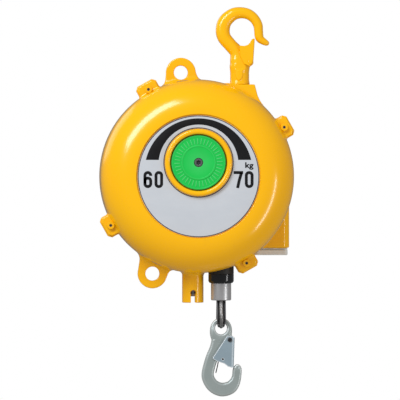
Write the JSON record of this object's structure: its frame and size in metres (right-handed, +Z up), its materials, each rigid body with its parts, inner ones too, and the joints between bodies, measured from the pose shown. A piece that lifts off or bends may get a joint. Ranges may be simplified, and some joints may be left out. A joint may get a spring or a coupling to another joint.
{
  "type": "spring balancer",
  "caption": "Hanging spring balancer with a round cast housing, a swivel top hook and a wire rope that ends in a bumper and a latched load hook.",
  "frame": {"origin": "load seat of the upper hook: the crown of its opening, on the hook's axis plane", "axes": "+Z up along the suspended height, +X to the side the upper hook opens to, +Y to the rear, so the name plate faces -Y"},
  "size_m": [0.2412, 0.187, 0.4841],
  "materials": {
    "bronze": "bearing bronze",
    "bumper_rubber": "glossy black moulded rubber",
    "cap_plastic": "moulded green plastic",
    "cast_metal": "as-cast aluminium",
    "dark_steel": "blackened steel",
    "ferrule_steel": "bright turned steel",
    "guide_nylon": "black nylon",
    "housing_paint": "glossy yellow enamel",
    "latch_zinc": "bluish zinc plated sheet",
    "plate_print": "satin printed aluminium",
    "rope_wire": "oiled wire rope",
    "spring_steel": "blued spring steel",
    "steel": "machined steel",
    "strip_plastic": "pale grey moulded plastic",
    "zinc": "zinc plated steel"
  },
  "bodies": {
    "housing": {"front_housing": "housing_paint", "rear_housing": "housing_paint", "ear_bolts": "housing_paint", "ear_nuts": "zinc", "name_plate": "plate_print", "hub_cap": "cap_plastic", "cap_screw": "dark_steel", "main_shaft": "steel", "shaft_washer": "zinc", "shaft_nut": "zinc", "bearing_inner_rings": "steel", "worm_bushes": "bronze", "worm_cap": "strip_plastic", "hook_washer": "steel", "rope_guide": "guide_nylon"},
    "drum": {"drum": "cast_metal", "wound_rope": "rope_wire", "spring_arbor": "steel", "arbor_screws": "dark_steel", "bearing_outer_rings": "steel", "bearing_rollers": "steel"},
    "spring_case": {"spring_case": "cast_metal", "spring_case_lid": "cast_metal", "main_spring": "spring_steel", "worm_wheel": "bronze", "case_screws": "dark_steel", "case_bush": "bronze"},
    "worm": {"worm": "steel"},
    "upper_hook": {"upper_hook": "housing_paint", "hook_nut": "zinc", "hook_split_pin": "zinc", "upper_latch_rivet": "housing_paint"},
    "upper_latch": {"upper_latch": "housing_paint"},
    "lock": {"lock_pin": "dark_steel", "lock_cross_pin": "dark_steel", "lock_spring": "spring_steel"},
    "rope_end": {"rope_run": "rope_wire", "bumper": "bumper_rubber", "ferrule": "ferrule_steel", "rope_loop": "rope_wire", "thimble": "zinc"},
    "lower_hook": {"lower_hook": "zinc", "lower_latch_rivet": "zinc"},
    "lower_latch": {"lower_latch": "latch_zinc"}
  },
  "joints": [
    {"name": "hook_swivel", "type": "hinge", "parent": "housing", "child": "upper_hook", "pos_m": [-0.0027, 0, -0.0817], "axis": [0, 0, 1], "continuous": true},
    {"name": "upper_latch_swing", "type": "hinge", "parent": "upper_hook", "child": "upper_latch", "pos_m": [0.0097, 0, -0.0541], "axis": [0, -1, 0], "range_deg": [0, 40], "stiffness_Nm_per_rad": 0.05, "springref_deg": -34.38},
    {"name": "drum_spin", "type": "hinge", "parent": "housing", "child": "drum", "pos_m": [-0.0559, 0, -0.1787], "axis": [0, 1, 0], "range_deg": [0, 1710], "stiffness_Nm_per_rad": 0.05, "springref_deg": -458.37},
    {"name": "load_travel", "type": "slide", "parent": "housing", "child": "rope_end", "axis": [0, 0, -1], "range_m": [0, 1.493], "deforming": ["rope_run"]},
    {"name": "case_turn", "type": "hinge", "parent": "housing", "child": "spring_case", "pos_m": [-0.0559, 0.084, -0.1787], "axis": [0, 1, 0], "range_deg": [-150, 150]},
    {"name": "worm_turn", "type": "hinge", "parent": "housing", "child": "worm", "pos_m": [0.0401, 0.084, -0.1787], "axis": [0, 0, 1], "range_deg": [-9001, 9001]},
    {"name": "lock_push", "type": "slide", "parent": "housing", "child": "lock", "axis": [0, 0, 1], "range_m": [0, 0.01], "stiffness_N_per_m": 400, "springref_m": -0.003, "deforming": ["lock_spring"]},
    {"name": "load_hook_swing", "type": "hinge", "parent": "rope_end", "child": "lower_hook", "pos_m": [-0.0258, 0, -0.3707], "axis": [1, 0, 0], "range_deg": [-40, 40]},
    {"name": "lower_latch_swing", "type": "hinge", "parent": "lower_hook", "child": "lower_latch", "pos_m": [-0.0152, 0, -0.39846], "axis": [0, 1, 0], "range_deg": [0, 25], "stiffness_Nm_per_rad": 0.05, "springref_deg": -34.38}
  ],
  "couplings": [
    {"joint": "load_travel", "follows": "drum_spin", "m_per_rad": 0.049991},
    {"joint": "worm_turn", "follows": "case_turn", "ratio": 60}
  ]
}
